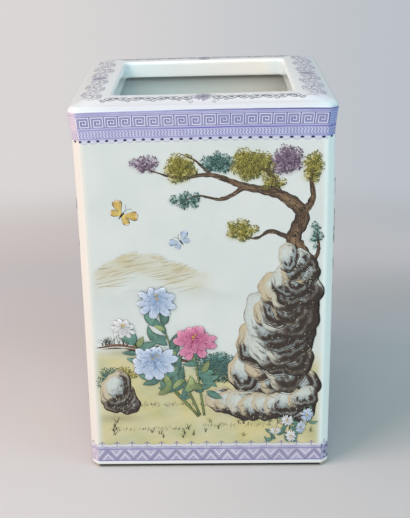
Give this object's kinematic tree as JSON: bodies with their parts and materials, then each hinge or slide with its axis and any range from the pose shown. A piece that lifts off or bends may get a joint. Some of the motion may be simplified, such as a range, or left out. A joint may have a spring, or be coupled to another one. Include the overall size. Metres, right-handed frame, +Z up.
{
  "type": "square brush pot",
  "caption": "Tall square porcelain brush pot with cut corners, a wide rim plate round a square mouth and a rounded foot; stands on a table and holds brushes upright.",
  "frame": {"origin": "middle of the square foot, on the plane of the table it stands on", "axes": "+X to the right as one faces the painted front wall, +Y from the front wall to the back wall, +Z up through the mouth"},
  "size_m": [0.1258, 0.1258, 0.192],
  "materials": {
    "glazed_porcelain": "gloss",
    "unglazed_foot": "matte",
    "border_enamel": "gloss",
    "painting_enamel": "gloss"
  },
  "bodies": {
    "root": {"front_wall": "glazed_porcelain", "back_wall": "glazed_porcelain", "left_wall": "glazed_porcelain", "right_wall": "glazed_porcelain", "top_plate": "glazed_porcelain", "base_plate": "glazed_porcelain", "front_left_corner_coil": "glazed_porcelain", "front_right_corner_coil": "glazed_porcelain", "back_right_corner_coil": "glazed_porcelain", "back_left_corner_coil": "glazed_porcelain", "front_floor_coil": "glazed_porcelain", "right_floor_coil": "glazed_porcelain", "back_floor_coil": "glazed_porcelain", "left_floor_coil": "glazed_porcelain"}
  },
  "joints": []
}
